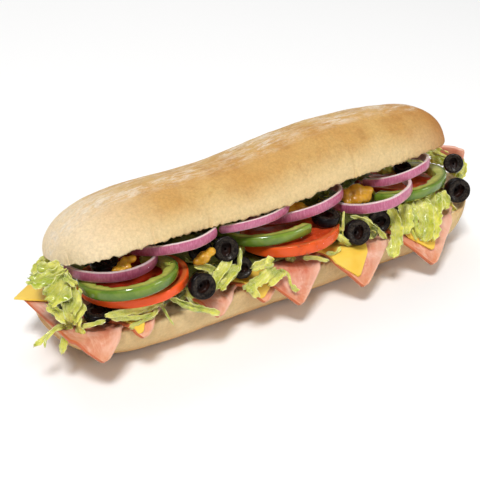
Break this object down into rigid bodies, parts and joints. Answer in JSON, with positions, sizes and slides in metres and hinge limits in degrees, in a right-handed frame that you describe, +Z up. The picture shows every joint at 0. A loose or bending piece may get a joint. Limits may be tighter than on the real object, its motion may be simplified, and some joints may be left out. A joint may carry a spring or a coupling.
{
  "type": "submarine sandwich",
  "caption": "Long soft roll cut lengthwise and filled with folded ham, cheese, shredded lettuce, tomato, green pepper, red onion and black olives, for serving as food.",
  "frame": {"origin": "centre of the bounding box at its lowest face, on the surface that the roll stands on", "axes": "+X along the roll towards its right end, -Y towards the open side where the filling shows, +Z up"},
  "size_m": [0.3172, 0.0974, 0.0975],
  "materials": {
    "bread": "matt golden crust, lightly floured",
    "ham": "moist satin",
    "cheese": "smooth satin",
    "tomato": "wet gloss",
    "pepper": "wet gloss",
    "onion": "wet gloss, pale inner side",
    "olive": "wet gloss",
    "mustard": "wet gloss",
    "lettuce": "moist satin"
  },
  "bodies": {
    "root": {"bread_bottom": "bread", "bread_top": "bread", "cheese_1": "cheese", "cheese_2": "cheese", "cheese_3": "cheese", "cheese_4": "cheese", "cheese_5": "cheese", "ham_1": "ham", "ham_2": "ham", "ham_3": "ham", "ham_4": "ham", "ham_5": "ham", "ham_6": "ham", "ham_7": "ham", "ham_8": "ham", "lettuce_1": "lettuce", "lettuce_10": "lettuce", "lettuce_11": "lettuce", "lettuce_2": "lettuce", "lettuce_3": "lettuce", "lettuce_4": "lettuce", "lettuce_5": "lettuce", "lettuce_6": "lettuce", "lettuce_7": "lettuce", "lettuce_8": "lettuce", "lettuce_9": "lettuce", "lettuce_bed": "lettuce", "mustard_1": "mustard", "mustard_2": "mustard", "mustard_3": "mustard", "mustard_4": "mustard", "olive_1": "olive", "olive_10": "olive", "olive_11": "olive", "olive_12": "olive", "olive_2": "olive", "olive_3": "olive", "olive_4": "olive", "olive_5": "olive", "olive_6": "olive", "olive_7": "olive", "olive_8": "olive", "olive_9": "olive", "onion_1": "onion", "onion_2": "onion", "onion_3": "onion", "onion_4": "onion", "onion_5": "onion", "onion_6": "onion", "pepper_1": "pepper", "pepper_2": "pepper", "pepper_3": "pepper", "tomato_1": "tomato", "tomato_2": "tomato", "tomato_3": "tomato"}
  },
  "joints": []
}
